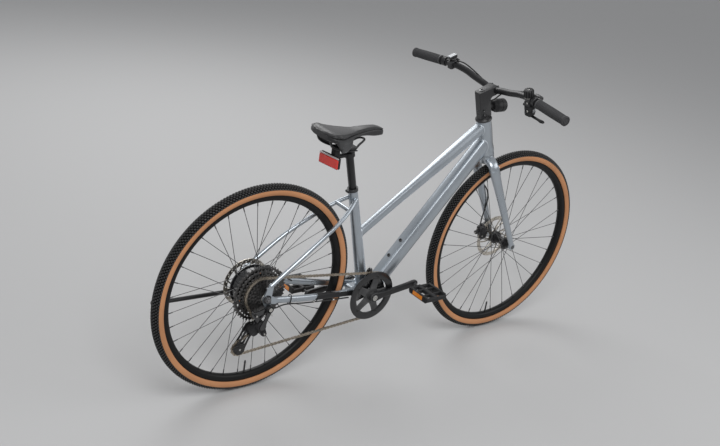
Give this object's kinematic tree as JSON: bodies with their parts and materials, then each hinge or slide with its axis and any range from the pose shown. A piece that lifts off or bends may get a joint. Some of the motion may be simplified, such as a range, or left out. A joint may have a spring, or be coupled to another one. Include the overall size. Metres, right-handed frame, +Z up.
{
  "type": "step through bike",
  "caption": "City bicycle with a low curved step-over frame, flat handlebar, rear hub motor, derailleur gearing, disc brakes and a padded saddle.",
  "frame": {"origin": "on the ground, midway between the two wheel axles, in the middle plane of the frame", "axes": "+X forward, towards the front wheel; +Y to the rider's left; +Z up"},
  "size_m": [1.767, 0.7354, 1.01],
  "materials": {
    "frame_paint": "metallic silver-blue paint, satin",
    "battery_case": "matt moulded",
    "black_alloy": "black anodised, satin",
    "tyre": "black tread with tan side walls",
    "rotor_steel": "ground",
    "motor_shell": "gloss black",
    "axle_steel": "dark plated",
    "cassette_steel": "plated",
    "chain_steel": "oiled",
    "black_plastic": "fine moulded texture",
    "saddle_skin": "smooth black synthetic leather",
    "red_lens": "gloss",
    "clear_lens": "gloss, frosted inside",
    "hose_rubber": "smooth",
    "grip_rubber": "patterned",
    "button_plastic": "satin"
  },
  "bodies": {
    "frame": {"head_tube": "frame_paint", "seat_tube": "frame_paint", "top_tube": "frame_paint", "down_tube": "frame_paint", "battery_pack": "battery_case", "right_chain_stay": "frame_paint", "left_chain_stay": "frame_paint", "right_seat_stay": "frame_paint", "left_seat_stay": "frame_paint", "seat_collar": "black_alloy", "headset_lower_bearing": "black_alloy", "rear_axle": "axle_steel", "rear_caliper": "black_alloy", "chain": "chain_steel", "derailleur_body": "black_alloy", "derailleur_cage": "black_alloy", "rear_brake_hose": "hose_rubber", "derailleur_cable": "hose_rubber"},
    "seat": {"seatpost": "black_alloy", "saddle_rails": "axle_steel", "saddle_base": "black_plastic", "saddle_cover": "saddle_skin", "tail_light_housing": "black_plastic", "tail_light_lens": "red_lens"},
    "steering": {"fork": "frame_paint", "headset_cover": "black_alloy", "stem": "black_alloy", "handlebar": "black_alloy", "right_grip": "grip_rubber", "left_grip": "grip_rubber", "right_brake_perch": "black_alloy", "left_brake_perch": "black_alloy", "shifter_pod": "black_plastic", "display": "black_plastic", "headlight_housing": "black_plastic", "headlight_lens": "clear_lens", "front_caliper": "black_alloy", "bar_hoses": "hose_rubber"},
    "left_brake_lever": {"left_brake_lever": "black_alloy"},
    "right_brake_lever": {"right_brake_lever": "black_alloy"},
    "shift_lever": {"shift_lever": "black_plastic"},
    "release_lever": {"release_lever": "black_plastic"},
    "display_button": {"display_button": "button_plastic"},
    "front_wheel": {"front_tyre": "tyre", "front_rim": "black_alloy", "front_hub": "black_alloy", "front_rotor": "rotor_steel"},
    "rear_wheel": {"rear_tyre": "tyre", "rear_rim": "black_alloy", "motor_hub": "motor_shell", "rear_rotor": "rotor_steel"},
    "cassette": {"cassette": "cassette_steel"},
    "crank": {"chainring": "black_alloy", "right_crank": "black_alloy", "left_crank": "black_alloy"},
    "right_pedal": {"right_pedal": "black_plastic"},
    "left_pedal": {"left_pedal": "black_plastic"},
    "guide_pulley": {"guide_pulley": "black_plastic"},
    "tension_pulley": {"tension_pulley": "black_plastic"},
    "kickstand": {"kickstand_leg": "black_alloy"}
  },
  "joints": [
    {"name": "steering_turn", "type": "hinge", "parent": "frame", "child": "steering", "pos_m": [0.36017, 0, 0.70766], "axis": [-0.3338, 0, 0.9426], "range_deg": [-75, 75]},
    {"name": "front_wheel_spin", "type": "hinge", "parent": "steering", "child": "front_wheel", "pos_m": [0.5335, 0, 0.35], "axis": [0, 1, 0], "continuous": true},
    {"name": "rear_wheel_spin", "type": "hinge", "parent": "frame", "child": "rear_wheel", "pos_m": [-0.5335, 0, 0.35], "axis": [0, 1, 0], "continuous": true},
    {"name": "crank_spin", "type": "hinge", "parent": "frame", "child": "crank", "pos_m": [-0.098, 0, 0.27], "axis": [0, 1, 0], "continuous": true},
    {"name": "cassette_spin", "type": "hinge", "parent": "frame", "child": "cassette", "pos_m": [-0.5335, 0, 0.35], "axis": [0, 1, 0], "continuous": true},
    {"name": "guide_pulley_spin", "type": "hinge", "parent": "frame", "child": "guide_pulley", "pos_m": [-0.5625, -0.04152, 0.243], "axis": [0, 1, 0], "continuous": true},
    {"name": "tension_pulley_spin", "type": "hinge", "parent": "frame", "child": "tension_pulley", "pos_m": [-0.5955, -0.04152, 0.176], "axis": [0, 1, 0], "continuous": true},
    {"name": "right_pedal_spin", "type": "hinge", "parent": "crank", "child": "right_pedal", "pos_m": [0.07073, -0.14, 0.29072], "axis": [0, 1, 0], "continuous": true},
    {"name": "left_pedal_spin", "type": "hinge", "parent": "crank", "child": "left_pedal", "pos_m": [-0.26673, 0.14, 0.24928], "axis": [0, 1, 0], "continuous": true},
    {"name": "seat_height", "type": "slide", "parent": "frame", "child": "seat", "axis": [-0.279, 0, 0.9603], "range_m": [-0.1, 0.06]},
    {"name": "kickstand_fold", "type": "hinge", "parent": "frame", "child": "kickstand", "pos_m": [-0.5335, 0.085, 0.304], "axis": [0, -0.9781, -0.2079], "range_deg": [0, 105]},
    {"name": "left_brake_pull", "type": "hinge", "parent": "steering", "child": "left_brake_lever", "pos_m": [0.34273, 0.22, 0.95594], "axis": [0.3502, 0, 0.9367], "range_deg": [0, 15], "stiffness_Nm_per_rad": 1.5, "springref_deg": -5.73},
    {"name": "right_brake_pull", "type": "hinge", "parent": "steering", "child": "right_brake_lever", "pos_m": [0.34273, -0.22, 0.95594], "axis": [-0.3502, 0, -0.9367], "range_deg": [0, 15], "stiffness_Nm_per_rad": 1.5, "springref_deg": -5.73},
    {"name": "shift_lever_push", "type": "hinge", "parent": "steering", "child": "shift_lever", "pos_m": [0.3103, -0.193, 0.93794], "axis": [-0.3338, 0, 0.9426], "range_deg": [0, 20], "stiffness_Nm_per_rad": 0.4, "springref_deg": -5.73},
    {"name": "release_lever_push", "type": "hinge", "parent": "steering", "child": "release_lever", "pos_m": [0.3103, -0.193, 0.93794], "axis": [-0.3338, 0, 0.9426], "range_deg": [0, 15], "stiffness_Nm_per_rad": 0.3, "springref_deg": -5.73},
    {"name": "display_button_press", "type": "slide", "parent": "steering", "child": "display_button", "axis": [0.9426, 0, 0.3338], "range_m": [0, 0.0015], "stiffness_N_per_m": 300, "springref_m": -0.001}
  ],
  "couplings": [
    {"joint": "cassette_spin", "follows": "crank_spin", "ratio": 1.4286},
    {"joint": "guide_pulley_spin", "follows": "crank_spin", "ratio": -3.6364},
    {"joint": "tension_pulley_spin", "follows": "crank_spin", "ratio": 3.6364}
  ]
}
